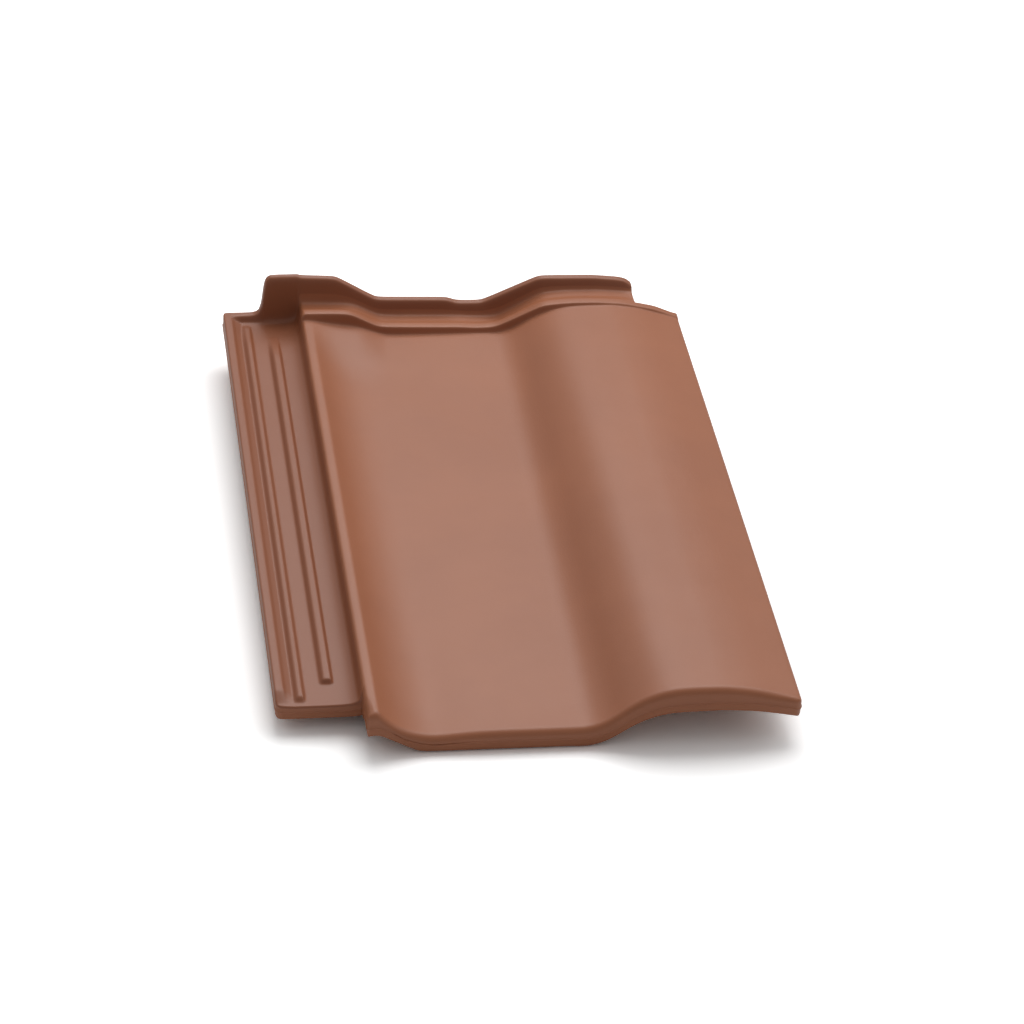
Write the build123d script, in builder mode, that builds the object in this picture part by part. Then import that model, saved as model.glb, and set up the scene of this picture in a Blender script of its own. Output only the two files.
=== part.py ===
from build123d import *
from math import atan2, degrees, radians, tan
import os

os.makedirs("parts", exist_ok=True)

# The tile's own plane: X across from the side lock to the free edge, Y along from the
# foot to the head, Z up, with zero at the foot's left corner on the pan's surface

# Overall size
tile_width = 300.0
tile_length = 450.0
pan_thickness = 10.5

# Pan, which rises a little towards the head so that it clears the tile laid below it
pan_head_rise = 3.8
pan_start = 94.0
pan_end = 170.0

# Roll on the right: hollow flank, shoulder, crest and the plain free edge
flank_x = 198.0
flank_height = 12.0
flank_thickness = 12.6
shoulder_x = 217.0
shoulder_height = 21.6
crest_x = 249.0
crest_height = 25.2
crest_head_drop = 2.2
edge_height = 14.8
edge_head_drop = 3.0
edge_slope = 0.28
edge_under_slope = 0.2
roll_thickness = 11.0
edge_thickness = 9.5

# Lip between the side lock and the pan, with its hollow slope down to the pan
lip_x = 50.4
lip_width = 6.4
lip_height = 16.3
lip_toe = 5.0
lip_slope_run = 12.0
lip_slope_drop = 10.2
lip_hollow_height = 2.5

# Side lock: outer rim, two rails and the flat water channel between them and the lip
lock_floor = 3.1
lock_thickness = 9.2
lock_setback = 27.0
lock_corner = 8.0
rim_width = 5.7
rim_slope = 4.9
rim_height = 4.3
rim_ramp = 11.5
rim_foot_height = 1.0
head_rim_width = 7.8
rail_height = 3.0
rail_side = 1.5
rail_one_x = 11.0
rail_one_width = 5.1
rail_one_foot_gap = 4.0
rail_one_head_gap = 17.0
rail_two_x = 27.5
rail_two_width = 5.7
rail_two_foot_gap = 20.0
rail_two_head_gap = 30.0
head_corner = 3.0

# Foot nose: the front edge, thicker than the body
nose_length = 20.0
nose_pan_drop = 2.0
nose_roll_drop = 4.4
nose_round = 3.0

# Head lock, at distances from the foot: front rib, groove and rear wall
front_rib_y = 422.8
front_rib_width = 6.2
rear_wall_y = 444.0
rear_wall_end = 271.0
rib_ledge_height = 20.8
rib_pan_height = 8.6
rib_notch_height = 7.4
rib_roll_height = 25.2
rib_edge_height = 12.6
groove_ledge_height = 17.4
groove_pan_height = 6.2
groove_notch_height = 4.6
groove_roll_height = 23.0
groove_edge_height = 20.8
wall_ledge_height = 34.8
wall_pan_height = 16.8
wall_notch_height = 13.5
wall_roll_height = 31.3
wall_edge_height = 27.0
ledge_end = 79.0
ledge_fall_end = 101.5
notch_start = 149.0
notch_end = 157.0
roll_rise_start = 174.0
roll_rise_end = 208.0
bend_round = 5.0

# Tall block where the rear wall closes the side lock
block_x = 26.0
block_height = 36.4
block_round = 4.0

# Raised shelf that carries the pan's head corner up to the ledge
shelf_length = 30.0
shelf_height = 11.8
shelf_width = 27.0
shelf_foot_sink = 1.0

# Batten nibs
nib_depth = 15.0
nib_width = 30.0
nib_thickness = 15.0
nib_y = 392.0
nib_left_x = 104.0
nib_right_x = 208.0
nib_side_draft = 2.5
hook_draft = 3.0
nib_back_draft = 12.0

# Cover rib that hangs from the roll near its free edge, into the next tile's side lock
cover_rib_x = 268.0
cover_rib_width = 6.0
cover_rib_drop = 1.5
cover_rib_start = 40.0
cover_rib_end = 395.0

# Heights and places that follow from the sizes above
lip_end = lip_x + lip_width
lock_under = lock_floor - lock_thickness
rim_top = lock_floor + rim_height
rail_top = lock_floor + rail_height
nose_under = -pan_thickness - nose_pan_drop
nib_low = -pan_thickness - nib_depth
root_depth = pan_thickness / 2
nib_front = nib_y - nib_thickness / 2


def tile_section(plane, pan, crest, edge, lip, pan_drop, roll_drop):
    """Section from the lip to the free edge: lip, hollow slope, pan and roll."""
    under = pan - pan_thickness - pan_drop
    crest_under = crest - roll_thickness - roll_drop
    edge_under = edge - edge_thickness - roll_drop / 2
    flank_under = pan + flank_height - flank_thickness - roll_drop
    hollow = lip_hollow_height - pan_drop
    with BuildSketch(plane) as section:
        with BuildLine():
            Line((lip_x, hollow), (lip_x, lip))
            Line((lip_x, lip), (lip_end, lip))
            Spline((lip_end, lip), (lip_end + lip_slope_run, lip - lip_slope_drop),
                   (pan_start, pan), tangents=((1, -1), (1, 0)))
            Line((pan_start, pan), (pan_end, pan))
            Spline((pan_end, pan), (flank_x, pan + flank_height),
                   (shoulder_x, crest - crest_height + shoulder_height), (crest_x, crest),
                   tangents=((1, 0), (1, 0)))
            Spline((crest_x, crest), (tile_width, edge), tangents=((1, 0), (1, -edge_slope)))
            Line((tile_width, edge), (tile_width, edge_under))
            Spline((tile_width, edge_under), (crest_x, crest_under),
                   tangents=((-1, edge_under_slope), (-1, 0)))
            Spline((crest_x, crest_under), (flank_x, flank_under), (pan_end, under),
                   tangents=((-1, 0), (-1, 0)))
            Line((pan_end, under), (pan_start - lip_toe, under))
            Line((pan_start - lip_toe, under), (lip_end, hollow))
            Line((lip_end, hollow), (lip_x, hollow))
        make_face()
    return section.sketch


def head_strip(plane, ledge, pan, notch, roll, edge, right):
    """Section of a strip across the head: its top steps down from the left ledge to the
    pan, a little more at the notch and up again to the roll, and its root lies inside
    the tile's body."""
    roll_root = crest_height - crest_head_drop - root_depth
    with BuildSketch(plane) as strip:
        with BuildLine():
            FilletPolyline((lip_x, ledge), (ledge_end, ledge), (ledge_fall_end, pan),
                           (notch_start, pan), (notch_end, notch), (roll_rise_start, notch),
                           (roll_rise_end, roll), (crest_x, roll), (right, edge),
                           radius=bend_round)
            Polyline((right, edge), (right, edge_height - edge_head_drop - root_depth),
                     (crest_x, roll_root), (pan_end, 0), (pan_start, 0), (lip_x, root_depth),
                     (lip_x, ledge))
        make_face()
    return strip.sketch


def shelf_section(plane, lip, corner, end):
    """Section of the shelf beside the lip: its top falls from the lip to a corner and on
    to its end in the pan, and its root lies inside the tile's body."""
    with BuildSketch(plane) as shelf:
        with BuildLine():
            Polyline((lip_end, lip_hollow_height), (lip_end, lip), corner, end,
                     (end[0], pan_head_rise - root_depth), close=True)
        make_face()
    return shelf.sketch


with BuildPart() as verge_tile:
    # Batten nibs, one under the pan and one under the roll's flank: their front view,
    # narrowed by their side view so that the hook face and the back lean for the mould
    for x, left_root, right_root in (
        (nib_left_x, -root_depth, -root_depth),
        (nib_right_x, flank_height - root_depth, shoulder_height - root_depth),
    ):
        left, right = x - nib_width / 2, x + nib_width / 2
        with BuildSketch(Plane.XZ.offset(-tile_length)):
            with BuildLine():
                Polyline((left, left_root), (left + nib_side_draft, nib_low),
                         (right - nib_side_draft, nib_low), (right, right_root), close=True)
            make_face()
        extrude(amount=tile_length)
    hook_lean = (shoulder_height - nib_low) * tan(radians(hook_draft))
    back_lean = (shoulder_height - nib_low) * tan(radians(nib_back_draft))
    with BuildSketch(Plane.YZ):
        with BuildLine():
            Polyline((nib_front, nib_low), (nib_front - hook_lean, shoulder_height),
                     (nib_front + nib_thickness + back_lean, shoulder_height),
                     (nib_front + nib_thickness, nib_low), close=True)
        make_face()
    extrude(amount=tile_width, mode=Mode.INTERSECT)

    # Side lock with its rim, its two outer corners rounded
    with BuildSketch(Plane.XZ.offset(-lock_setback)):
        with BuildLine():
            Polyline((0, lock_under), (0, rim_top), (rim_width, rim_top),
                     (rim_width + rim_slope, lock_floor), (lip_x - lip_toe, lock_floor),
                     (lip_x, lock_floor + lip_toe), (lip_end, lock_floor + lip_toe),
                     (lip_end, lip_hollow_height), (lip_x, lip_hollow_height),
                     (lip_x - lip_toe, lock_under), close=True)
        make_face()
    extrude(amount=lock_setback - tile_length)
    lock_corners = verge_tile.edges().filter_by(Axis.Z).group_by(Axis.X)[0].sort_by(Axis.Y)
    for corner, radius in ((lock_corners[0], lock_corner), (lock_corners[-1], head_corner)):
        fillet(corner, radius)

    # Ramp that lets the rim's foot slide under the next tile
    with BuildSketch(Plane.YZ):
        with BuildLine():
            Polyline((lock_setback, lock_floor + rim_foot_height), (lock_setback, rim_top),
                     (lock_setback + rim_ramp, rim_top), close=True)
        make_face()
    extrude(amount=rail_one_x, mode=Mode.SUBTRACT)

    # Two rails in the channel, the second one shorter at both ends
    for x, width, foot_gap, head_gap in (
        (rail_one_x, rail_one_width, rail_one_foot_gap, rail_one_head_gap),
        (rail_two_x, rail_two_width, rail_two_foot_gap, rail_two_head_gap),
    ):
        with BuildSketch(Plane.XZ.offset(-lock_setback - foot_gap)):
            with BuildLine():
                Polyline((x, lock_floor), (x + rail_side, rail_top), (x + width, rail_top),
                         (x + width + rail_side, lock_floor), close=True)
            make_face()
        extrude(amount=lock_setback + foot_gap + head_gap - tile_length)

    # Body, lofted from the foot's section to the flatter one at the head
    foot_section = tile_section(Plane.XZ.offset(-nose_length), 0, crest_height, edge_height,
                                lip_height, 0, 0)
    head_section = tile_section(Plane.XZ.offset(-tile_length), pan_head_rise,
                                crest_height - crest_head_drop,
                                edge_height - edge_head_drop, lip_height, 0, 0)
    loft([foot_section, head_section], ruled=True)

    # Foot nose, with its front edges rounded
    nose_section = tile_section(Plane.XZ, 0, crest_height, edge_height, lip_height,
                                nose_pan_drop, nose_roll_drop)
    extrude(nose_section, amount=-nose_length)
    front = verge_tile.faces().sort_by(Axis.Y)[0]
    fillet(front.edges(), nose_round)

    # Free edge cut back behind the front rib, where the next tile's lock takes over
    with BuildSketch(Plane.XY.offset(nose_under)):
        with Locations((rear_wall_end, front_rib_y + front_rib_width)):
            Rectangle(tile_width, tile_length, align=(Align.MIN, Align.MIN))
    extrude(amount=tile_width, mode=Mode.SUBTRACT)

    # Head lock: groove floor, front rib and rear wall
    groove = head_strip(Plane.XZ.offset(-front_rib_y), groove_ledge_height, groove_pan_height,
                        groove_notch_height, groove_roll_height, groove_edge_height,
                        rear_wall_end)
    extrude(groove, amount=front_rib_y - tile_length)
    front_rib = head_strip(Plane.XZ.offset(-front_rib_y), rib_ledge_height, rib_pan_height,
                           rib_notch_height, rib_roll_height, rib_edge_height, tile_width)
    extrude(front_rib, amount=-front_rib_width)
    rear_wall = head_strip(Plane.XZ.offset(-rear_wall_y), wall_ledge_height, wall_pan_height,
                           wall_notch_height, wall_roll_height, wall_edge_height,
                           rear_wall_end)
    extrude(rear_wall, amount=rear_wall_y - tile_length)

    # Block where the rear wall closes the side lock, and the rim beside it
    with BuildSketch(Plane.XZ.offset(-rear_wall_y)) as block:
        with Locations((block_x, lock_floor)):
            Rectangle(lip_end - block_x, block_height - lock_floor,
                      align=(Align.MIN, Align.MIN))
        fillet(block.vertices().sort_by(Axis.Y)[-2:].sort_by(Axis.X)[0], block_round)
    extrude(amount=rear_wall_y - tile_length)
    with BuildSketch(Plane.XY.offset(lock_floor)):
        with Locations((rim_width, tile_length)):
            Rectangle(block_x - rim_width, head_rim_width, align=(Align.MIN, Align.MAX))
    extrude(amount=rim_height)

    # Raised shelf in the pan's head corner, sunk into the slope at its foot
    shelf_foot = shelf_section(
        Plane.XZ.offset(shelf_length - front_rib_y), lip_height - shelf_foot_sink,
        (lip_end + lip_slope_run, lip_height - lip_slope_drop - shelf_foot_sink),
        (pan_start, pan_head_rise - shelf_foot_sink))
    shelf_head = shelf_section(Plane.XZ.offset(-front_rib_y), lip_height,
                               (lip_end + shelf_width, shelf_height),
                               (ledge_fall_end, pan_head_rise))
    loft([shelf_foot, shelf_head], ruled=True)

    # Cover rib under the roll
    edge_under = edge_height - edge_thickness
    with BuildSketch(Plane.XZ.offset(-cover_rib_start)):
        with Locations((cover_rib_x, edge_under - cover_rib_drop)):
            Rectangle(cover_rib_width, crest_height - root_depth - edge_under,
                      align=(Align.CENTER, Align.MIN))
    extrude(amount=cover_rib_start - cover_rib_end)

# The tile lies unheld on its foot nose and its nibs, so it is tipped to that lie and
# moved until its footprint is centred and its lowest points are on the floor
lie_angle = degrees(atan2(nose_under - nib_low, nib_front - nose_round))
lying = verge_tile.part.rotate(Axis.X, lie_angle)
box = lying.bounding_box()
verge_tile.part = lying.moved(
    Location((-box.center().X, -box.center().Y, -box.min.Z)))

verge_tile.part.label = "verge_tile"
export_step(verge_tile.part, "parts/verge_tile.step")
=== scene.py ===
import math

import bpy
import numpy as np
from bpy.props import FloatProperty, FloatVectorProperty, PointerProperty
from mathutils import Matrix, Vector


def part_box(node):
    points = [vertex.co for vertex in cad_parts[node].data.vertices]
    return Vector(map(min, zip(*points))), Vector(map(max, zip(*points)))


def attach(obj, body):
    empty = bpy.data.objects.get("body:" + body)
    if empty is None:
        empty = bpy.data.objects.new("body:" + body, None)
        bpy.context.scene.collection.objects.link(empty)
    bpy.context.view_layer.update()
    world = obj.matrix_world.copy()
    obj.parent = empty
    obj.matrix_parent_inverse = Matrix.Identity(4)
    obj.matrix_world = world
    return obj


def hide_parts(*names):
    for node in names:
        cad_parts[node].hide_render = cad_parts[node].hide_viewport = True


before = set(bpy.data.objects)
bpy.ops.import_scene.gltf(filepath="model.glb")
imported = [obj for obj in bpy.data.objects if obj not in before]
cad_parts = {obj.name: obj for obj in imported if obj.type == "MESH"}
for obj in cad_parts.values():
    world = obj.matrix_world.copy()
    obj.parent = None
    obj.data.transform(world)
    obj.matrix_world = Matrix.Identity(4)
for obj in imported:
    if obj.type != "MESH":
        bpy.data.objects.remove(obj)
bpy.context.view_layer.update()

bl_info = {
    "name": "Verge tile",
    "version": (1, 0, 0),
    "blender": (4, 5, 0),
    "location": "View3D > Sidebar > Verge tile",
    "description": "Pressed clay verge tile with its side lock, head lock and roll",
    "category": "Object",
}

MM = 0.001
TILE_NODE = "verge_tile"


def length(name, description, millimetres):
    """A size in metres, given in millimetres."""
    return FloatProperty(name=name, description=description, default=millimetres * MM,
                         subtype="DISTANCE", unit="LENGTH", precision=4)


def colour(name, description, value):
    """A plain colour as Blender's linear red, green and blue."""
    return FloatVectorProperty(name=name, description=description, default=value,
                               subtype="COLOR", min=0.0, max=1.0, size=3)


def turn(name, description, degrees):
    """An angle in radians, given in degrees."""
    return FloatProperty(name=name, description=description, default=math.radians(degrees),
                         subtype="ANGLE", unit="ROTATION")


def amount(name, description, value):
    """A plain number, such as a lamp's power in watts."""
    return FloatProperty(name=name, description=description, default=value)


class TileSizes(bpy.types.PropertyGroup):
    """Driving sizes of the tile, in its own plane: X across, Y from the foot, Z from the pan."""

    width: length("Width", "Rim of the side lock to the free edge", 300.0)
    length: length("Length", "Foot nose to the back of the rear wall", 450.0)
    pan_thickness: length("Pan thickness", "Clay under the pan", 10.5)
    pan_head_rise: length("Pan rise", "How far the pan rises from foot to head", 3.8)
    pan_start: length("Pan start", "Where the lip's hollow slope reaches the pan", 94.0)
    crest_x: length("Crest place", "Top of the roll, across the tile", 249.0)
    crest_height: length("Crest height", "Roll above the pan at the foot", 25.2)
    crest_head_drop: length("Crest drop", "How far the crest falls towards the head", 2.2)
    edge_height: length("Edge height", "Free edge above the pan at the foot", 14.8)
    edge_head_drop: length("Edge drop", "How far the free edge falls towards the head", 3.6)
    lip_x: length("Lip place", "Left wall of the lip", 49.6)
    lip_width: length("Lip width", "Flat top of the lip", 7.2)
    lip_height: length("Lip height", "Top of the lip above the pan", 16.3)
    lock_floor: length("Channel floor", "Floor of the side lock", 3.1)
    lock_thickness: length("Lock thickness", "Clay under the side lock", 9.2)
    lock_setback: length("Lock setback", "Side lock's foot behind the nose", 27.0)
    rim_height: length("Rim height", "Outer rim above the channel floor", 4.3)
    rail_height: length("Rail height", "Rails above the channel floor", 3.0)
    front_rib_y: length("Front rib", "Front face of the head lock's rib", 422.8)
    front_rib_width: length("Rib width", "Front rib, from face to groove", 6.2)
    rear_wall_y: length("Rear wall", "Front face of the rear wall", 444.0)
    rear_wall_end: length("Rear wall end", "Right end of the rear wall", 271.0)
    nose_length: length("Nose length", "Thicker strip along the foot", 20.0)
    nib_depth: length("Nib depth", "Batten nibs below the pan", 15.0)
    parting_height: length("Parting line", "Mould line above the lower edge", 5.4)
    parting_ridge: length("Parting ridge", "How far the mould line stands out", 0.5)
    wall_draft: length("Wall draft", "How far the wall below the mould line leans in", 0.1)
    lie: turn("Lie", "Tip of the tile as it rests on nose and nibs", 1.952)


class ClayFinish(bpy.types.PropertyGroup):
    """Colours and gloss of the slip-coated face and of the bare fired clay below."""

    slip: colour("Slip", "Reddish brown slip on the weathered face", (0.355, 0.122, 0.053))
    # A part of this darker slip mottles the clouds; in full it is painted shade over the side
    # lock and the rear wall.
    slip_cloud_and_shade: colour("Slip, dark", "Slip in the recesses, and a part of it in the clouds",
                      (0.272, 0.088, 0.0370))
    clay: colour("Bare clay", "Fired clay on the underside", (0.330, 0.130, 0.064))
    roughness: FloatProperty(name="Roughness", description="Satin gloss of the slip",
                             default=0.46, min=0.0, max=1.0)


class StudioSettings(bpy.types.PropertyGroup):
    """Camera, floor and lamps. The powers of the lamps are in watts."""

    azimuth: turn("Azimuth", "Camera heading from +Y towards +X", 9.595)
    elevation: turn("Elevation", "How steeply the camera looks down", 32.35)
    roll: turn("Roll", "Camera turned about its own axis", -3.484)
    distance: length("Distance", "Camera to the point it looks at", 2349.2)
    target_x: length("Look at X", "Point in the middle of the picture", 11.85)
    target_y: length("Look at Y", "Point in the middle of the picture", -4.2)
    target_z: length("Look at Z", "Point in the middle of the picture", 20.0)
    focal: amount("Focal length", "Lens on a 36 mm sensor, in mm", 134.5)
    floor_grey: amount("Floor", "Pale floor, as light bounces off it", 0.80)
    floor_white: amount("Floor seen", "The same floor, as seen white", 1.45)
    key_power: amount("Key", "Soft box high behind the tile", 28.8)
    back_power: amount("Back", "Panel behind, for the sheen", 11.0)
    corner_power: amount("Corner", "Soft box at the back right", 8.1)
    rim_power: amount("Rim", "Soft box at the back left", 7.2)
    side_power: amount("Side", "Soft box on the right", 5.2)
    sky: amount("Sky", "Even white light from all round", 0.314)


# Places and heights below are in mm: across from the side lock's rim, along from the nose,
# and up from the pan at the foot. A line is a row of (place across, height).

# Head lock: its rib, groove and rear wall, the wall's tall block, and the shelf by the lip,
# which rises between two places along the tile
FRONT_RIB_LINE = ((50, 21.0), (81.5, 20.4), (100, 9.6), (157, 8.1), (163, 7.3), (177.5, 7.3),
                  (208.5, 23.8), (228, 25.2), (246, 25.0), (262, 23.7), (283, 18.9), (300, 11.7))
GROOVE_LINE = ((50, 17.9), (84, 16.8), (101, 7.1), (157, 5.7), (163, 4.8), (181, 4.5),
               (210, 22.4), (226, 23.4), (250, 22.9), (271, 20.8))
REAR_WALL_LINE = ((44, 36.2), (52, 35.2), (73.5, 34.2), (100.5, 17.4), (148, 16.3),
                  (154, 13.6), (171, 13.3), (208.5, 31.5), (244, 30.9), (262, 29.2),
                  (267.5, 27.9), (271, 23.5))
BLOCK_LINE = ((19, 7.4), (23.8, 8.2), (25.4, 10.6), (25.8, 31.8), (26.9, 34.9), (30.0, 36.2))
SHELF_LINE = ((54, 17.0), (65, 14.8), (87, 11.6), (103, 3.9))
SHELF_RISE = (378, 418)

# Soft steps from one form to the next: start and end, counted from the form's own place,
# and softness. The first three lie along the tile, the last one across it.
RIB_FRONT = (-0.1, 0.7, 0.5)
RIB_BACK = (1.0, 4.5, 1.4)
WALL_FRONT = (-1.2, 0.6, 0.9)
LIP_WALL = (-1.5, 0.1, 0.7)

# Side lock: the rim's share of its height across, and at its foot, where it starts low and
# ramps up between two places behind the lock's foot
RIM_LINE = ((5.2, 1.0), (6.8, 0.56), (11.3, 0.0))
RIM_LOW = 0.12
RIM_RAMP = (2.5, 11.5)
# Each rail: share of its height across, start behind the lock's foot, end along the tile,
# length of its end slopes, where it fades towards the head, and the share left there
RAILS = (
    (((10.6, 0), (13.2, 1), (16.4, 1), (17.4, 0)), 4.0, 438.0, 2.5, (414.0, 434.0), 0.35),
    (((27.0, 0), (29.2, 1), (33.6, 1), (34.6, 0)), 20.0, 424.0, 2.0, (400.0, 422.0), 0.0),
)
# The lip's toe climbs out of the channel from this place, at this slope
TOE_START, TOE_SLOPE = 45.0, 0.7

# The lip's hollow slope down to the pan, how steeply it starts, and the height over which
# the pan's rise flattens it
LIP_SLOPE_LINE = ((57.6, 14.4), (63.4, 8.6), (71, 3.9), (81, 1.0))
LIP_SLOPE_START = -1.15
LIP_SLOPE_HEIGHT = 16.0
# Shallow dish in the pan beside the lip, at the foot: depth, middle and reach
DISH_DEPTH, DISH_X, DISH_REACH = 1.9, 88.0, 19.0

# The roll across the tile: share of its height at each place
ROLL_SHAPE = ((171, 0.0), (188, 0.18), (199, 0.51), (209, 0.765), (219, 0.918), (249, 1.0))
# and the share of the fall from the crest to the free edge, with its slope at that edge
FALL_SHAPE = ((249, 0.0), (262, 0.10), (274, 0.31), (286, 0.62), (300, 1.0))
EDGE_SLOPE = 0.029

# Underside: clay under the roll, extra depth of the nose, and where the half that follows
# the lip meets the half that follows the roll
ROLL_START = 170
ROLL_CLAY_LINE = ((198, 12.6), (249, 11.0), (300, 9.5))
NOSE_DROP_LINE = ((188, 2.0), (235, 5.2), (262, 5.2), (300, 2.4))
HALVES_MEET = 92
# The hollow below the lip: its height, its end in the pan, how far it moves to the right
# behind the nose, and where the pan's rise begins and is full
HOLLOW_TOP, HOLLOW_END, HOLLOW_SHIFT = 2.5, 80, 6.0
PAN_RISE_SPAN = (57, 80)
# Cover rib under the roll, between two places across and along, down to its toe. Outside
# them its surface lies at a height above all of the clay.
COVER_ACROSS, COVER_ALONG, COVER_TOE, ABOVE_ALL = (265, 271), (40, 395), 3.9, 40.0
# Batten nibs: middles, half the width, and the slopes of their hook faces and backs
NIB_MIDDLES, NIB_HALF_WIDTH = (104, 208), 15
NIB_HOOK, NIB_BACK = (383.7, 384.7), (399.4, 403.2)

# Rounded edges: radius above and below, with what the nose and the free edge add. The nose's
# share fades behind its foot and towards the free corner, and the free edge's grows to it.
TOP_RADIUS, NOSE_TOP_MORE, FREE_TOP_MORE = 1.2, 3.4, 1.4
UNDER_RADIUS, NOSE_UNDER_MORE = 1.8, 1.0
NOSE_FADE, CORNER_FADE, FREE_GROW = (6, 14), (285, 13), (285, 10)
CORNER_LOSS = 0.6

# Wall: levels of its rings from the mould line, how sharp the ridge is, how much of the line's
# height the rounded lower edge takes, and the least gap to the faces
RING_LEVELS = (3.0, 0.9, 0.45, 0.0, -0.45, -0.9)
RIDGE_REACH, EDGE_SHARE, FACE_GAP = 0.42, 1.6, 0.05

# The slip wraps round the lower edge: whole to the first distance, gone the second further
# in. The painted shade of darker slip over the side lock and the rear wall stops a margin
# short of the lip, and starts as much before the rear wall.
SLIP_WRAP = (1.0, 4.0)
PAINTED_SHADE_MARGIN = 0.5

# Grid lines across and along the tile: runs of (start, end, pitch). Of two lines nearer than
# the least pitch one is dropped, and a hair is the slack in comparing places.
ACROSS_RUNS = (
    (2.4, 5.0, 0.9), (5.2, 17.8, 0.45), (18.5, 24.8, 1.2), (25.0, 27.8, 0.3), (28.0, 35.6, 0.42),
    (36.5, 44.0, 1.4), (44.6, 48.4, 0.5), (53.0, 58.0, 0.6), (59.0, 70.0, 1.2),
    (71.5, 88.0, 1.8), (89.0, 91.6, 0.65), (93.0, 104.0, 1.6), (106.0, 116.0, 2.5),
    (116.4, 119.0, 0.65), (121.0, 146.0, 3.2), (147.5, 164.0, 1.4), (166.0, 192.0, 1.7),
    (193.0, 195.6, 0.65), (197.0, 212.0, 1.5), (214.0, 220.0, 2.0), (220.4, 223.0, 0.65),
    (225.0, 262.0, 2.8), (264.6, 268.6, 0.55), (274.5, 296.0, 2.6))
ALONG_RUNS = (
    (6.0, 18.6, 1.9), (19.0, 23.4, 0.75), (29.6, 39.6, 0.9), (40.6, 46.4, 1.2), (46.6, 50.0, 0.5),
    (53.0, 380.0, 11.0), (382.8, 385.6, 0.4), (387.0, 397.0, 2.0), (398.5, 404.1, 0.8),
    (406.0, 421.0, 1.8), (421.8, 424.4, 0.26), (425.0, 427.6, 0.7), (431.2, 441.8, 1.5),
    (442.2, 445.4, 0.27), (446.0, 448.0, 0.7))
LEAST_PITCH = 0.03
HAIR = 0.01

# Bare clay: how dark its specks are, and its roughness
SPECK_SHADE, CLAY_ROUGHNESS = 0.82, 0.85

# Lamps round the tile: heading and height in degrees, distance, width and depth in metres
LAMPS = (("key", 20, 62, 2.4, 1.8, 1.6), ("back", 5, 45, 3.0, 1.6, 1.0),
         ("corner", 55, 40, 2.8, 1.5, 1.5), ("rim", -45, 40, 2.8, 1.5, 1.5),
         ("side", 90, 40, 2.5, 1.5, 1.5))
# Half the floor's side and the camera's far limit in metres, and its sensor in mm
FLOOR_REACH, FAR_LIMIT, SENSOR_WIDTH = 6.0, 50.0, 36.0


def bend(distance, softness):
    """Zero before a corner and the distance after it, with the corner rounded:
    half of the distance plus the root of its square and the softness squared."""
    return 0.5 * (distance + np.sqrt(distance * distance + softness * softness))


def bent_line(x, points, softness):
    """Height along a line of straight runs, flat beyond both ends, with soft corners:
    the first height plus, at each corner, its change of slope times the bend there."""
    xs, zs = np.array(points, dtype=float).T
    slopes = np.concatenate(([0.0], np.diff(zs) / np.diff(xs), [0.0]))
    return zs[0] + bend(x[..., None] - xs, softness) @ np.diff(slopes)


def step(u, start, end, softness):
    """Zero before start and one after end, with soft corners."""
    return (bend(u - start, softness) - bend(u - end, softness)) / (end - start)


def step_at(u, place, soft_step):
    """A step whose start and end are counted from a place."""
    start, end, softness = soft_step
    return step(u, place + start, place + end, softness)


def window(u, low, high, side, softness):
    """One between low and high, zero outside, with sloping sides inside that span."""
    return step(u, low, low + side, softness) - step(u, high - side, high, softness)


def ramp(u, start, reach):
    """Straight rise from zero at the start to one a reach further on."""
    return np.clip((u - start) / reach, 0.0, 1.0)


def part_of(least, share):
    """Rises from the least value to one as the share goes from zero to one."""
    return least + (1 - least) * share


def soft_low(a, b, softness):
    """The lower of two heights, with the corner between them rounded."""
    return 0.5 * (a + b - np.sqrt((a - b) ** 2 + softness * softness))


def smooth_curve(x, knots, slope_in, slope_out):
    """Cubic curve through the knots with no break in bending: the slopes at the knots solve
    one small linear system, and each span is the usual cubic between two ends and slopes."""
    xs, zs = np.array(knots, dtype=float).T
    count = len(xs)
    spans = np.diff(xs)
    rise = np.diff(zs) / spans
    system = np.eye(count)
    right = np.concatenate(([slope_in], 3 * (rise[:-1] / spans[:-1] + rise[1:] / spans[1:]),
                            [slope_out]))
    inner = np.arange(1, count - 1)
    system[inner, inner - 1] = 1 / spans[:-1]
    system[inner, inner] = 2 / spans[:-1] + 2 / spans[1:]
    system[inner, inner + 1] = 1 / spans[1:]
    slopes = np.linalg.solve(system, right)
    k = np.clip(np.searchsorted(xs, x, side="right") - 1, 0, count - 2)
    t = np.clip((x - xs[k]) / spans[k], 0.0, 1.0)
    inside = (zs[k] * (1 + 2 * t) * (1 - t) ** 2 + zs[k + 1] * t * t * (3 - 2 * t)
              + spans[k] * (slopes[k] * t * (1 - t) ** 2 - slopes[k + 1] * t * t * (1 - t)))
    before = slope_in * np.minimum(x - xs[0], 0.0)
    after = slope_out * np.maximum(x - xs[-1], 0.0)
    return inside + before + after


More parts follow.
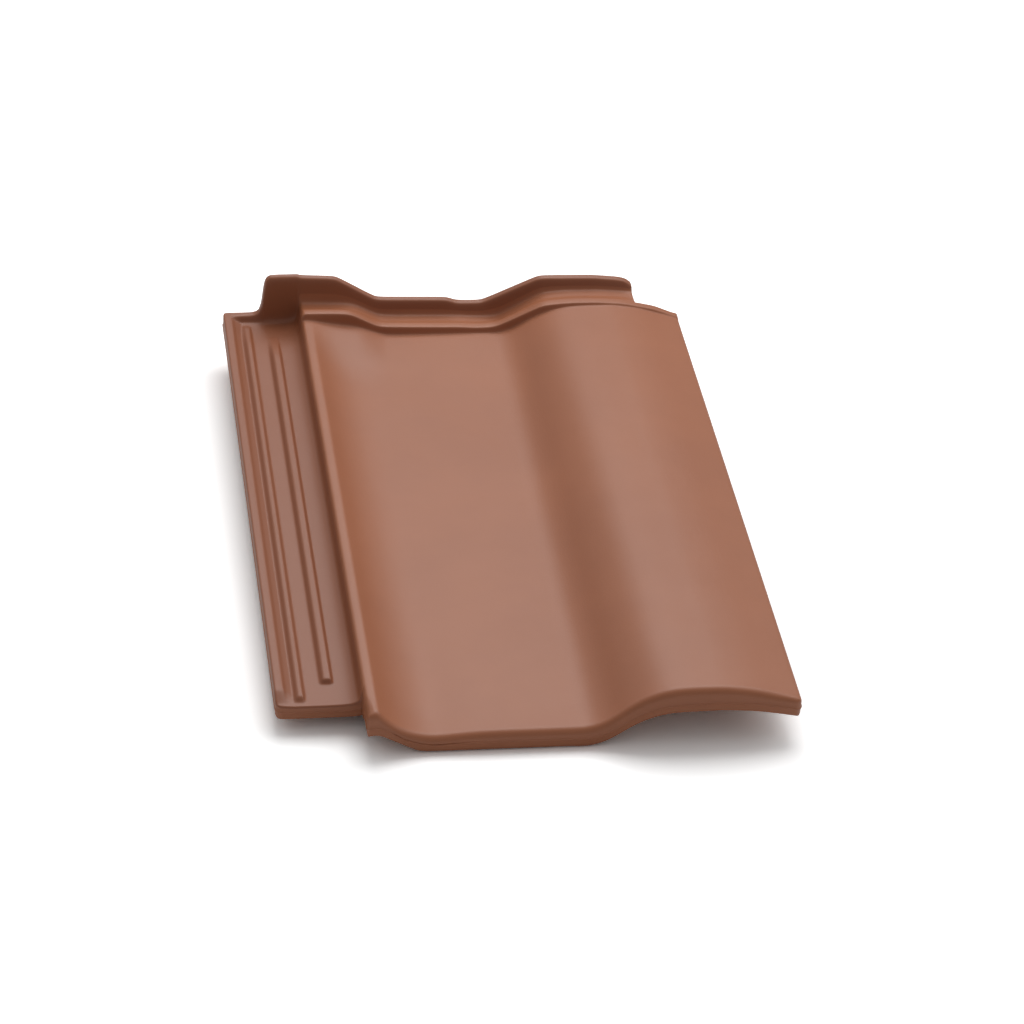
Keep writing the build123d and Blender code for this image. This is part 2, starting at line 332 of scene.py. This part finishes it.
class TileForm:
    """The tile's two faces as heights over its plan, in millimetres."""

    def __init__(self, sizes):
        for name in sizes.__annotations__:
            if name != "lie":
                setattr(self, name, getattr(sizes, name) / MM)
        self.rib_back = self.front_rib_y + self.front_rib_width

    def along(self, y):
        """Share of the way from the nose to the head."""
        return ramp(y, self.nose_length, self.length - self.nose_length)

    def body(self, x, s):
        """Pan, roll and free edge at a share s of the way to the head: the pan's rise, plus
        the roll's share of its height, less the share of the fall beyond the crest."""
        pan = self.pan_head_rise * s
        crest = self.crest_height - self.crest_head_drop * s
        edge = self.edge_height - self.edge_head_drop * s
        rise = smooth_curve(x, ROLL_SHAPE, 0.0, 0.0)
        fall = smooth_curve(x, FALL_SHAPE, 0.0, EDGE_SLOPE)
        return pan + (crest - pan) * rise - (crest - edge) * np.where(x > self.crest_x, fall, 0.0)

    def field(self, x, y):
        """Weathered face between the lip and the free edge: the body, plus the lip's hollow
        slope, less the dish beside it, cut off softly at the lip's flat top."""
        s = self.along(y)
        slope = smooth_curve(x, (*LIP_SLOPE_LINE, (self.pan_start, 0.0)), LIP_SLOPE_START, 0.0)
        slope = slope * (1 - s * self.pan_head_rise / LIP_SLOPE_HEIGHT)
        dish = DISH_DEPTH * np.exp(-((x - DISH_X) / DISH_REACH) ** 2) * (1 - s) ** 2
        face = self.body(x, s) + slope - dish
        return np.where(x < self.pan_start, soft_low(face, self.lip_height, softness=0.9), face)

    def rail(self, x, y, line, start, end, side, fade, least):
        """One rail as a share of the rails' height: its line across, between its sloping
        ends, falling to its least share towards the head."""
        ends = window(y, self.lock_setback + start, end, side, softness=0.4 * side)
        fall = 1 - step(y, *fade, softness=4.0)
        return bent_line(x, line, softness=0.6) * ends * part_of(least, fall)

    def lock(self, x, y):
        """Side lock: floor, rim with its sloping inner face, two rails and the lip's toe."""
        start, full = RIM_RAMP
        climb = step(y, self.lock_setback + start, self.lock_setback + full, softness=1.5)
        rim = self.rim_height * bent_line(x, RIM_LINE, softness=0.7) * part_of(RIM_LOW, climb)
        rails = self.rail_height * sum(self.rail(x, y, *rail) for rail in RAILS)
        toe = TOE_SLOPE * bend(x - TOE_START, softness=4.0)
        return self.lock_floor + rim + rails + toe

    def top(self, x, y):
        """Whole weathered face. Across the head each strip takes over from the one before it
        by a soft step along Y, and at the lip's left wall the lock gives way to the field."""
        to_rib = step_at(y, self.front_rib_y, RIB_FRONT)
        to_groove = step_at(y, self.rib_back, RIB_BACK)
        to_wall = step_at(y, self.rear_wall_y, WALL_FRONT)
        face = self.field(x, y)
        shelf = bent_line(x, SHELF_LINE, softness=5.0)
        face = face + np.maximum(shelf - face, 0.0) * step(y, *SHELF_RISE, softness=10.0)
        rib = bent_line(x, FRONT_RIB_LINE, softness=4.0)
        groove = bent_line(x, GROOVE_LINE, softness=4.0)
        wall = bent_line(x, REAR_WALL_LINE, softness=2.5)
        right = (face + (rib - face) * to_rib + (groove - rib) * to_groove
                 + (wall - groove) * to_wall)
        lock = self.lock(x, y)
        left = lock + (bent_line(x, BLOCK_LINE, softness=1.2) - lock) * to_wall
        return left + (right - left) * step_at(x, self.lip_x, LIP_WALL)

    def under(self, x, y):
        """Underside: follows the weathered face at the clay's thickness, deeper at the nose,
        with a hollow below the lip, two nibs and one cover rib."""
        s = self.along(y)
        nose = 1 - step(y, self.nose_length - 1, self.nose_length + 3, softness=1.5)
        hollow = ((self.lip_x - 5, self.lock_floor - self.lock_thickness),
                  (self.lip_x, HOLLOW_TOP), (self.lip_x + self.lip_width, HOLLOW_TOP),
                  (HOLLOW_END, -self.pan_thickness))
        left = bent_line(x - HOLLOW_SHIFT * (1 - nose), hollow, softness=2.5)
        left = left + self.pan_head_rise * s * step(x, *PAN_RISE_SPAN, softness=4.0)
        clay = ((ROLL_START, self.pan_thickness), *ROLL_CLAY_LINE)
        right = self.body(x, s) - bent_line(x, clay, softness=8.0)
        face = np.where(x < HALVES_MEET, left, right)
        drop = bent_line(x, NOSE_DROP_LINE, softness=5.0)
        face = face - drop * nose * step(x, self.lip_x - 2, self.lip_x, softness=0.5)
        cover = (window(x, *COVER_ACROSS, side=1.5, softness=0.8)
                 * window(y, *COVER_ALONG, side=2.0, softness=1.0))
        face = soft_low(face, ABOVE_ALL - (ABOVE_ALL - COVER_TOE) * cover, softness=0.5)
        toe = -self.pan_thickness - self.nib_depth
        depth = step(y, *NIB_HOOK, softness=0.5) - step(y, *NIB_BACK, softness=0.8)
        for middle in NIB_MIDDLES:
            nib = depth * window(x, middle - NIB_HALF_WIDTH, middle + NIB_HALF_WIDTH,
                                 side=2.6, softness=0.8)
            face = face + (toe - face) * nib
        return face


def inset(values, size, margin):
    """Places across a size, drawn in evenly by a margin at both ends."""
    return margin + values * (1 - 2 * margin / size)


def run_lines(*runs):
    """Grid lines from runs of (start, end, pitch), each at the even pitch nearest to its own."""
    return np.concatenate([np.linspace(start, end, max(2, int(round((end - start) / pitch)) + 1))
                           for start, end, pitch in runs])


def round_lines(edge, reach, count, direction):
    """Lines that crowd towards an edge, as an arc's points do: reach times one minus a cosine."""
    angle = np.linspace(0.0, math.pi / 2, count)
    return edge + direction * reach * (1 - np.cos(angle))


def plan_lines(form):
    """Grid lines across and along the tile, close together where the form bends and where an
    edge is rounded, sorted and without doubles."""
    across = (
        run_lines(*ACROSS_RUNS, (48.6, form.lip_x, 0.225)),
        round_lines(0.0, 2.0, 7, 1), round_lines(form.lip_x, 2.0, 6, 1),
        round_lines(form.rear_wall_end, 2.0, 7, -1), round_lines(form.rear_wall_end, 2.0, 4, 1),
        round_lines(form.width, 4.6, 10, -1))
    along = (
        run_lines(*ALONG_RUNS), round_lines(0.0, 5.0, 11, 1),
        round_lines(form.lock_setback, 2.0, 5, -1), round_lines(form.lock_setback, 2.0, 7, 1),
        round_lines(form.rib_back, 1.6, 6, -1), round_lines(form.rib_back, 1.6, 5, 1),
        round_lines(form.length, 1.6, 7, -1))
    plan = []
    for groups in (across, along):
        lines = np.sort(np.concatenate(groups))
        plan.append(lines[np.concatenate(([True], np.diff(lines) > LEAST_PITCH))])
    return plan


def edge_distance(form, x, y):
    """Distance inwards from the plan's outline: the largest of three overlapping rectangles'."""
    rectangles = ((0, form.lock_setback, form.rear_wall_end, form.length),
                  (form.lip_x, 0, form.width, form.rib_back),
                  (form.lip_x, 0, form.rear_wall_end, form.length))
    inside = [np.minimum(np.minimum(x - x0, x1 - x), np.minimum(y - y0, y1 - y))
              for x0, y0, x1, y1 in rectangles]
    return np.maximum(np.maximum(inside[0], inside[1]), inside[2])


def edge_radii(form, x, y):
    """Radius of the rounded edges above and below: the usual one, more along the nose and,
    above, along the free edge."""
    free = ramp(x, *FREE_GROW) * (y < form.rib_back + HAIR)
    nose = (1 - ramp(y, *NOSE_FADE)) * (x > form.lip_x - HAIR)
    nose = nose * (1 - CORNER_LOSS * ramp(x, *CORNER_FADE))
    return (TOP_RADIUS + np.maximum(NOSE_TOP_MORE * nose, FREE_TOP_MORE * free),
            UNDER_RADIUS + NOSE_UNDER_MORE * nose)


def round_drop(distance, radius):
    """How far a rounded edge lies below its face: a quarter circle within the radius."""
    reach = np.clip(radius - distance, 0.0, radius)
    return radius - np.sqrt(np.maximum(radius * radius - reach * reach, 0.0))


def round_corner(x, y, corner, radius, facing):
    """Moves grid points so that a square corner of the plan becomes a quarter circle: in the
    corner's own square, each coordinate shrinks by the root of one less half the other squared.
    The square takes in a hair more, for points that lie on its outer sides."""
    inner = np.array(corner) - radius * np.array(facing)
    u = (x - inner[0]) * facing[0] / radius
    v = (y - inner[1]) * facing[1] / radius
    near = (np.minimum(u, v) > 0) & (np.maximum(u, v) < 1 + 0.1 * HAIR)
    across = np.where(near, u * np.sqrt(np.maximum(1 - v * v / 2, 0)), u)
    along = np.where(near, v * np.sqrt(np.maximum(1 - u * u / 2, 0)), v)
    return (inner[0] + across * radius * facing[0], inner[1] + along * radius * facing[1])


def round_plan(form, x, y):
    """Rounds the plan's outer corners, each given by its place, radius and the way it points."""
    for corner, radius, facing in (
        ((0, form.lock_setback), 5.0, (-1, -1)), ((0, form.length), 3.0, (-1, 1)),
        ((form.lip_x, 0), 2.2, (-1, -1)), ((form.width, 0), 4.6, (1, -1)),
        ((form.width, form.rib_back), 1.6, (1, 1)),
        ((form.rear_wall_end, form.length), 1.6, (1, 1)),
    ):
        x, y = round_corner(x, y, corner, radius, facing)
    return x, y


def outline_of(form, xs, ys, index):
    """Grid points round the plan's outline, anticlockwise from the side lock's foot."""
    left, lip, wall_end, right = (
        int(np.argmin(np.abs(xs - value)))
        for value in (0.0, form.lip_x, form.rear_wall_end, form.width))
    foot, lock_foot, rib_back, head = (
        int(np.argmin(np.abs(ys - value)))
        for value in (0.0, form.lock_setback, form.rib_back, form.length))
    return np.concatenate((
        index[lock_foot, left:lip], index[lock_foot:foot:-1, lip], index[foot, lip:right],
        index[foot:rib_back, right], index[rib_back, right:wall_end:-1],
        index[rib_back:head, wall_end], index[head, wall_end:left:-1],
        index[head:lock_foot:-1, left]))


def wall_rings(form, upper, lower):
    """Rings of points down the wall between its upper and lower edges. A ring lies at its
    level from the mould line, leans in by its share of the draft below that line, and stands
    out by the ridge's height times a bell curve of the level."""
    run = np.roll(upper[:, :2], -1, axis=0) - np.roll(upper[:, :2], 1, axis=0)
    outwards = np.stack((run[:, 1], -run[:, 0]), axis=1) / np.hypot(*run.T)[:, None]
    high, low = upper[:, 2], lower[:, 2]
    mould_line = low + form.parting_height - EDGE_SHARE
    rings = []
    for level in RING_LEVELS:
        z = np.clip(mould_line + level, low + FACE_GAP, high - FACE_GAP)
        stand = form.parting_ridge * math.exp(-(level / RIDGE_REACH) ** 2)
        down = np.clip(-level / form.parting_height, 0, 1)
        place = upper[:, :2] + (lower[:, :2] - upper[:, :2]) * down + outwards * stand
        rings.append(np.column_stack((place, z)))
    return rings


def build_tile_mesh(sizes):
    """The closed tile: its top and underside as two grids over one plan, and the wall between
    them as a profile carried round the outline, with the mould's parting ridge on it."""
    form = TileForm(sizes)
    xs, ys = plan_lines(form)
    x, y = np.meshgrid(xs, ys)
    inwards = edge_distance(form, x, y)
    top_radius, under_radius = edge_radii(form, x, y)
    plan_x, plan_y = round_plan(form, x, y)
    top, under = (
        np.stack((inset(plan_x, form.width, margin), inset(plan_y, form.length, margin), face),
                 axis=-1).reshape(-1, 3)
        for margin, face in (
            (form.parting_ridge, form.top(x, y) - round_drop(inwards, top_radius)),
            (form.parting_ridge + form.wall_draft,
             form.under(x, y) + round_drop(inwards, under_radius))))

    grid = x.size
    index = np.arange(grid).reshape(x.shape)
    cell_x, cell_y = np.meshgrid((xs[:-1] + xs[1:]) / 2, (ys[:-1] + ys[1:]) / 2)
    solid = edge_distance(form, cell_x, cell_y) > 0
    a, b = index[:-1, :-1][solid], index[:-1, 1:][solid]
    c, d = index[1:, 1:][solid], index[1:, :-1][solid]
    top_faces = np.stack((a, b, c, d), axis=1)
    under_faces = np.stack((a, d, c, b), axis=1) + grid

    outline = outline_of(form, xs, ys, index)
    rings = wall_rings(form, top[outline], under[outline])
    count = len(outline)
    ring_points = len(rings) * count
    loops = [outline, *(2 * grid + np.arange(ring_points).reshape(-1, count)), outline + grid]
    wall_faces = [np.stack((upper, lower, np.roll(lower, -1), np.roll(upper, -1)), axis=1)
                  for upper, lower in zip(loops[:-1], loops[1:])]
    faces = np.concatenate([top_faces, under_faces] + wall_faces)
    points = np.concatenate((top, under, *rings))

    wrap = 1 - ramp(inwards.ravel(), *SLIP_WRAP)
    slip = np.concatenate((np.ones(grid), wrap, np.ones(ring_points)))
    # Painted shade: the side lock's channel and the rear wall, where the slip is drawn darker for
    # the shade that falls there.
    painted_shade_area = (x < form.lip_x - PAINTED_SHADE_MARGIN) | (y > form.rear_wall_y - PAINTED_SHADE_MARGIN)
    recess = np.concatenate((painted_shade_area.ravel(), np.zeros(grid + ring_points)))
    used = np.unique(faces)
    renumber = np.zeros(len(points), dtype=int)
    renumber[used] = np.arange(len(used))
    return lie_down(points[used], sizes), renumber[faces], slip[used], recess[used]


def lie_down(points, sizes):
    """Tips the tile about X by its lie, then centres it over the CAD part's footprint with
    its lowest point on the floor, in metres."""
    tip = np.array(Matrix.Rotation(sizes.lie, 3, "X"))
    lying = points @ tip.T * MM
    low, high = np.array(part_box(TILE_NODE)[0]), np.array(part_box(TILE_NODE)[1])
    mine_low, mine_high = lying.min(axis=0), lying.max(axis=0)
    shift = (low + high) / 2 - (mine_low + mine_high) / 2
    shift[2] = low[2] - mine_low[2]
    return lying + shift


def mesh_object(name, points, faces, smooth=True):
    """A new object from points and quads, at the origin."""
    mesh = bpy.data.meshes.new(name)
    mesh.from_pydata(points.tolist(), [], faces.tolist())
    mesh.polygons.foreach_set("use_smooth", np.full(len(mesh.polygons), smooth))
    mesh.update()
    piece = bpy.data.objects.new(name, mesh)
    bpy.context.scene.collection.objects.link(piece)
    return piece


def new_material(name):
    """An empty node material, with its tree."""
    material = bpy.data.materials.new(name)
    material.use_nodes = True
    material.node_tree.nodes.clear()
    return material, material.node_tree


def add_node(tree, kind, place, **values):
    """A shader node with its plain settings and inputs. An underscore in an input's name
    stands for a space, and another node's output is linked."""
    node = tree.nodes.new(kind)
    node.location = place
    for key, value in values.items():
        socket = key.replace("_", " ")
        if socket not in node.inputs:
            setattr(node, key, value)
        elif isinstance(value, bpy.types.NodeSocket):
            tree.links.new(value, node.inputs[socket])
        else:
            node.inputs[socket].default_value = value
    return node


def clay_material(finish):
    """Satin slip over fired clay: clouded colour, darker slip as painted shade over the side lock
    and the rear wall, fine grain and a faint unevenness from the press. The slip stops at the
    lower edge, where bare clay starts."""
    material, tree = new_material("slip_and_clay")
    own = add_node(tree, "ShaderNodeTexCoord", (-1400, 0)).outputs["Object"]
    clouds, grain, waves, specks = (
        add_node(tree, "ShaderNodeTexNoise", (-1200, 300 * row), Vector=own, Scale=scale,
                 Detail=detail, Roughness=rough).outputs["Fac"]
        for row, scale, detail, rough in ((1, 14.0, 4.0, 0.55), (0, 900.0, 3.0, 0.6),
                                          (-1, 24.0, 2.0, 0.4), (-2, 260.0, 2.0, 0.7)))

    # Slip: a cloud takes it up to 0.3 of the way to the dark slip, painted shade over the side
    # lock and the rear wall the whole way
    cloud = add_node(tree, "ShaderNodeMapRange", (-1050, 450), Value=clouds,
                     From_Min=0.35, From_Max=0.65, To_Max=0.3)
    recess = add_node(tree, "ShaderNodeAttribute", (-1250, 600), attribute_name="recess")
    darker = add_node(tree, "ShaderNodeMath", (-950, 550), operation="ADD", use_clamp=True)
    tree.links.new(cloud.outputs["Result"], darker.inputs[0])
    tree.links.new(recess.outputs["Fac"], darker.inputs[1])
    slip_colour = add_node(tree, "ShaderNodeMix", (-900, 300), data_type="RGBA",
                           Factor=darker.outputs[0], A=(*finish.slip, 1.0),
                           B=(*finish.slip_cloud_and_shade, 1.0))
    bare = Vector(finish.clay)
    bare_colour = add_node(tree, "ShaderNodeMix", (-900, 50), data_type="RGBA", Factor=specks,
                           A=(*(bare * SPECK_SHADE), 1.0), B=(*bare, 1.0))

    # Where the slip ends: its own amount plus half of the specks about zero, made sharp
    slip = add_node(tree, "ShaderNodeAttribute", (-900, -250), attribute_name="slip")
    offset = add_node(tree, "ShaderNodeMath", (-900, -450), operation="MULTIPLY_ADD")
    tree.links.new(specks, offset.inputs[0])
    offset.inputs[1].default_value = 0.5
    offset.inputs[2].default_value = -0.25
    broken = add_node(tree, "ShaderNodeMath", (-700, -250), operation="ADD")
    tree.links.new(slip.outputs["Fac"], broken.inputs[0])
    tree.links.new(offset.outputs[0], broken.inputs[1])
    coated = add_node(tree, "ShaderNodeMapRange", (-500, -250), Value=broken.outputs[0],
                      From_Min=0.42, From_Max=0.58).outputs["Result"]
    paint = add_node(tree, "ShaderNodeMix", (-300, 200), data_type="RGBA", Factor=coated,
                     A=bare_colour.outputs["Result"], B=slip_colour.outputs["Result"])
    gloss = add_node(tree, "ShaderNodeMapRange", (-300, -150), Value=coated,
                     To_Min=CLAY_ROUGHNESS, To_Max=finish.roughness)
    press = add_node(tree, "ShaderNodeBump", (-300, -450), Strength=0.12, Distance=0.004,
                     Height=waves)
    fine = add_node(tree, "ShaderNodeBump", (-100, -450), Strength=0.10, Distance=0.0005,
                    Height=grain, Normal=press.outputs["Normal"])
    surface = add_node(tree, "ShaderNodeBsdfPrincipled", (150, 0), IOR=1.5,
                       Specular_IOR_Level=0.5, Base_Color=paint.outputs["Result"],
                       Roughness=gloss.outputs["Result"], Normal=fine.outputs["Normal"])
    add_node(tree, "ShaderNodeOutputMaterial", (450, 0), Surface=surface.outputs["BSDF"])
    return material


def floor_material(grey, white):
    """Matt pale floor that throws back a plain grey, and that the camera sees as white
    wherever no shadow falls."""
    material, tree = new_material("pale_floor")
    path = add_node(tree, "ShaderNodeLightPath", (-400, 300))
    bounced = add_node(tree, "ShaderNodeBsdfDiffuse", (-400, 0), Color=(grey, grey, grey, 1.0))
    seen = add_node(tree, "ShaderNodeBsdfDiffuse", (-400, -200), Color=(white, white, white, 1.0))
    either = add_node(tree, "ShaderNodeMixShader", (-100, 0), Fac=path.outputs["Is Camera Ray"])
    tree.links.new(bounced.outputs["BSDF"], either.inputs[1])
    tree.links.new(seen.outputs["BSDF"], either.inputs[2])
    add_node(tree, "ShaderNodeOutputMaterial", (150, 0), Surface=either.outputs["Shader"])
    return material


def direction(heading, height):
    """Unit vector at a compass heading from +Y towards +X and a height angle, in radians."""
    return Vector((math.sin(heading) * math.cos(height), math.cos(heading) * math.cos(height),
                   math.sin(height)))


def add_lamp(name, heading, height, distance, width, depth, power):
    """A rectangular soft box at a heading and a height, in degrees, that faces the tile."""
    lamp = bpy.data.lights.new(name, "AREA")
    lamp.shape = "RECTANGLE"
    lamp.size, lamp.size_y = width, depth
    lamp.energy = power
    holder = bpy.data.objects.new(name, lamp)
    place = distance * direction(math.radians(heading), math.radians(height))
    holder.location = place
    holder.rotation_euler = place.to_track_quat("Z", "Y").to_euler()
    bpy.context.scene.collection.objects.link(holder)


def add_camera(studio):
    """The camera, on the line through its target at its heading and height, turned about it."""
    target = Vector((studio.target_x, studio.target_y, studio.target_z))
    forward = direction(studio.azimuth, -studio.elevation)
    right = forward.cross(Vector((0, 0, 1))).normalized()
    down = forward.cross(right)
    turned_right = right * math.cos(studio.roll) + down * math.sin(studio.roll)
    turned_down = forward.cross(turned_right)
    axes = Matrix((turned_right, -turned_down, -forward)).transposed()
    lens = bpy.data.cameras.new("camera")
    lens.lens = studio.focal
    lens.sensor_width = SENSOR_WIDTH
    lens.clip_end = FAR_LIMIT
    camera = bpy.data.objects.new("camera", lens)
    camera.matrix_world = Matrix.Translation(target - forward * studio.distance) @ axes.to_4x4()
    bpy.context.scene.collection.objects.link(camera)
    bpy.context.scene.camera = camera


class VERGE_OT_tile(bpy.types.Operator):
    """Make the tile's finished surface and give it its slip and clay"""

    bl_idname = "verge.tile"
    bl_label = "Make tile"

    def execute(self, context):
        points, faces, slip, recess = build_tile_mesh(context.scene.verge_sizes)
        tile = mesh_object("tile_surface", points, faces)
        # Attributes: where the slip lies, and where painted shade darkens it over the side lock
        # and the rear wall.
        for name, values in (("slip", slip), ("recess", recess)):
            layer = tile.data.attributes.new(name, "FLOAT", "POINT")
            layer.data.foreach_set("value", values.astype(np.float32))
        tile.data.materials.append(clay_material(context.scene.verge_finish))
        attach(tile, "root")
        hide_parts(TILE_NODE)
        return {"FINISHED"}


class VERGE_OT_studio(bpy.types.Operator):
    """Make the floor, the lamps and the camera"""

    bl_idname = "verge.studio"
    bl_label = "Make studio"

    def execute(self, context):
        studio = context.scene.verge_studio
        corners = FLOOR_REACH * np.array([(-1, -1, 0), (1, -1, 0), (1, 1, 0), (-1, 1, 0)])
        floor = mesh_object("floor", corners, np.array([(0, 1, 2, 3)]), smooth=False)
        floor.data.materials.append(floor_material(studio.floor_grey, studio.floor_white))
        world = bpy.data.worlds.new("studio")
        world.use_nodes = True
        sky = world.node_tree.nodes["Background"]
        sky.inputs["Color"].default_value = (1, 1, 1, 1)
        sky.inputs["Strength"].default_value = studio.sky
        context.scene.world = world
        for name, *setting in LAMPS:
            add_lamp(name, *setting, power=getattr(studio, name + "_power"))
        add_camera(studio)
        context.scene.view_settings.view_transform = "Standard"
        return {"FINISHED"}


class VERGE_PT_panel(bpy.types.Panel):
    """Sidebar panel with the tile's sizes, finish and studio"""

    bl_idname = "VERGE_PT_panel"
    bl_label = "Verge tile"
    bl_space_type = "VIEW_3D"
    bl_region_type = "UI"
    bl_category = "Verge tile"

    def draw(self, context):
        layout = self.layout
        for settings in (context.scene.verge_sizes, context.scene.verge_finish,
                         context.scene.verge_studio):
            box = layout.box()
            for name in settings.__annotations__:
                box.prop(settings, name)
        layout.operator(VERGE_OT_tile.bl_idname)
        layout.operator(VERGE_OT_studio.bl_idname)


CLASSES = (TileSizes, ClayFinish, StudioSettings, VERGE_OT_tile, VERGE_OT_studio, VERGE_PT_panel)


def register():
    """Makes the classes and their settings known to Blender."""
    for item in CLASSES:
        bpy.utils.register_class(item)
    bpy.types.Scene.verge_sizes = PointerProperty(type=TileSizes)
    bpy.types.Scene.verge_finish = PointerProperty(type=ClayFinish)
    bpy.types.Scene.verge_studio = PointerProperty(type=StudioSettings)


def unregister():
    """Takes the settings and classes away again, the last one first."""
    del bpy.types.Scene.verge_studio
    del bpy.types.Scene.verge_finish
    del bpy.types.Scene.verge_sizes
    for item in reversed(CLASSES):
        bpy.utils.unregister_class(item)


def main():
    """Makes the tile and its studio."""
    register()
    bpy.ops.verge.tile()
    bpy.ops.verge.studio()


if __name__ == "__main__":
    main()
